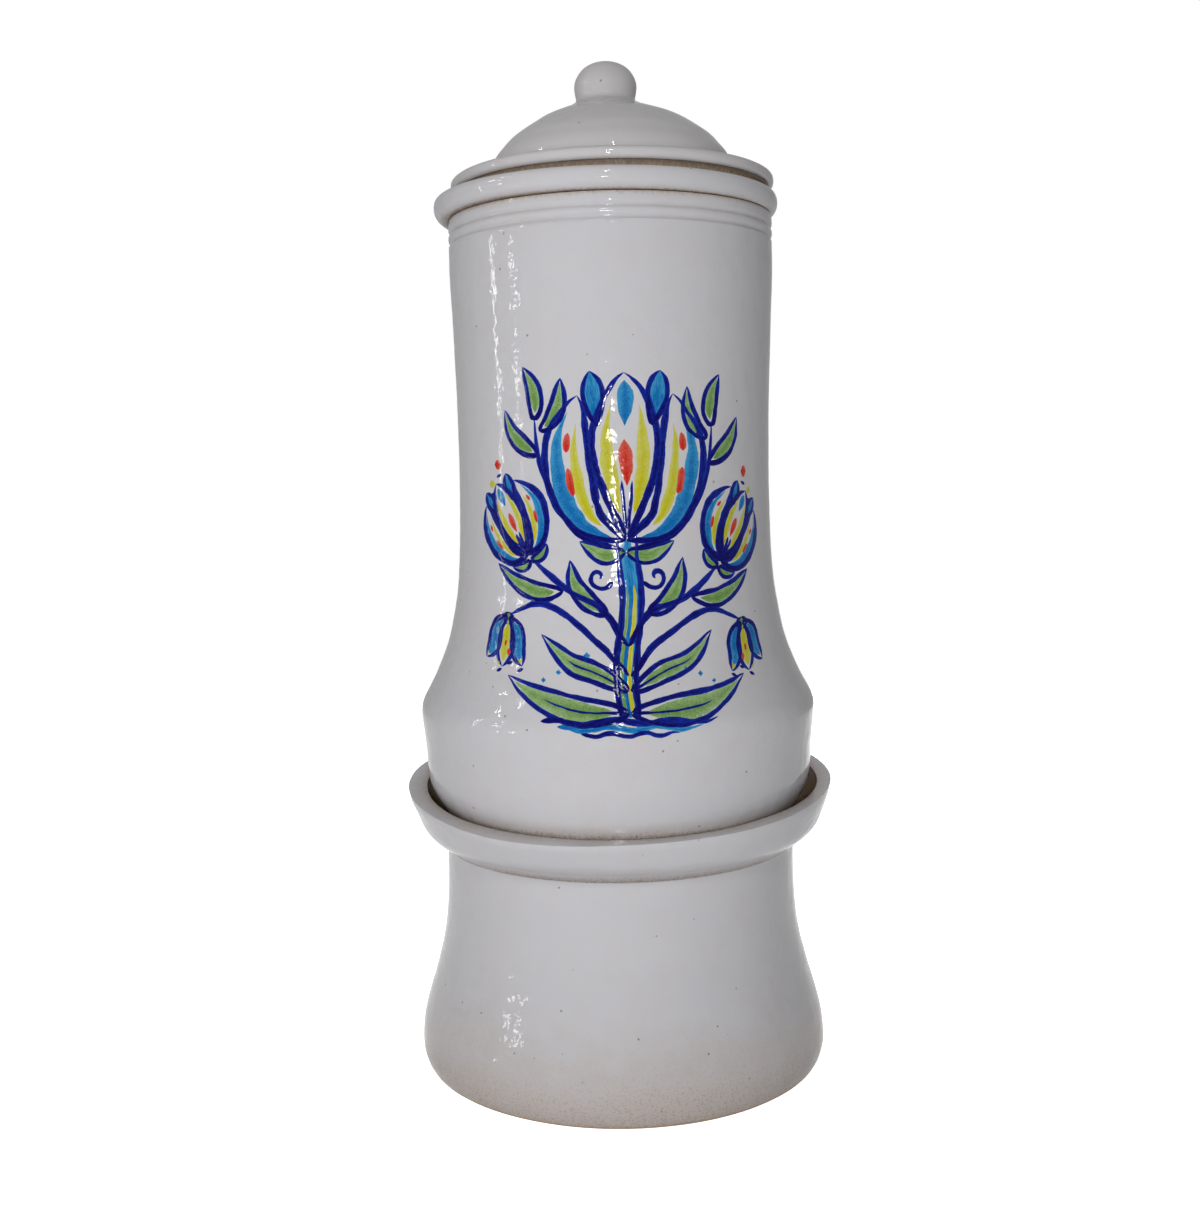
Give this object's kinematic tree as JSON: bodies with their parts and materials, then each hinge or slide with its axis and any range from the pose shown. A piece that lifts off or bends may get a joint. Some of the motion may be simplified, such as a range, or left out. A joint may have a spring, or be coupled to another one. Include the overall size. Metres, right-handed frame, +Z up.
{
  "type": "ceramic water filter",
  "caption": "Glazed ceramic water filter: a lidded filter vessel with a candle hangs in a tall jar that stands on a spool-shaped stand, with a push tap at the back.",
  "frame": {"origin": "centre of the stand's flat foot, on the axis of all the thrown pieces", "axes": "+Z up along the axis of the thrown pieces, -Y towards the decorated front, +Y towards the tap"},
  "size_m": [0.242, 0.3115, 0.5597],
  "materials": {
    "glaze": "glossy off-white tin glaze, slightly mottled",
    "candle_ceramic": "matt porous unglazed ceramic",
    "carbon": "pressed activated carbon, matt black",
    "white_plastic": "glossy white moulding",
    "blue_plastic": "satin blue moulding",
    "silicone": "soft translucent white",
    "steel": "bright stainless steel"
  },
  "bodies": {
    "stand": {"stand": "glaze"},
    "jar": {"jar": "glaze", "tap_body": "white_plastic", "tap_bonnet": "white_plastic", "outer_gasket": "silicone", "inner_gasket": "silicone", "back_nut": "white_plastic", "return_spring": "steel"},
    "vessel": {"filter_vessel": "glaze"},
    "lid": {"lid": "glaze"},
    "candle": {"candle_cap": "blue_plastic", "candle_shell": "candle_ceramic", "carbon_core": "carbon", "upper_washer": "silicone"},
    "clamp_washer": {"lower_washer": "silicone"},
    "clamp_nut": {"wing_nut": "blue_plastic"},
    "valve": {"valve_stem": "steel", "valve_plug": "silicone"},
    "lever": {"lever": "blue_plastic", "lever_pin": "steel"}
  },
  "joints": [
    {"name": "jar_lift", "type": "slide", "parent": "stand", "child": "jar", "axis": [0, 0, 1], "range_m": [0, 0.06]},
    {"name": "vessel_lift", "type": "slide", "parent": "jar", "child": "vessel", "axis": [0, 0, 1], "range_m": [0, 0.18]},
    {"name": "lid_lift", "type": "slide", "parent": "vessel", "child": "lid", "axis": [0, 0, 1], "range_m": [0, 0.08]},
    {"name": "candle_lift", "type": "slide", "parent": "vessel", "child": "candle", "axis": [0, 0, 1], "range_m": [0, 0.04]},
    {"name": "washer_drop", "type": "slide", "parent": "vessel", "child": "clamp_washer", "axis": [0, 0, -1], "range_m": [0, 0.0045]},
    {"name": "nut_turn", "type": "hinge", "parent": "clamp_washer", "child": "clamp_nut", "pos_m": [0, 0, 0.3219], "axis": [0, 0, -1], "range_deg": [0, 1080]},
    {"name": "valve_lift", "type": "slide", "parent": "jar", "child": "valve", "axis": [0, 0, 1], "range_m": [0, 0.0036], "stiffness_N_per_m": 500, "springref_m": -0.004, "deforming": ["return_spring"]},
    {"name": "lever_turn", "type": "hinge", "parent": "valve", "child": "lever", "pos_m": [0, 0.143, 0.2049], "axis": [-1, 0, 0], "range_deg": [0, 45]}
  ],
  "couplings": [
    {"joint": "nut_turn", "follows": "washer_drop", "rad_per_m": 4188.8},
    {"joint": "lever_turn", "follows": "valve_lift", "rad_per_m": 217.39}
  ]
}
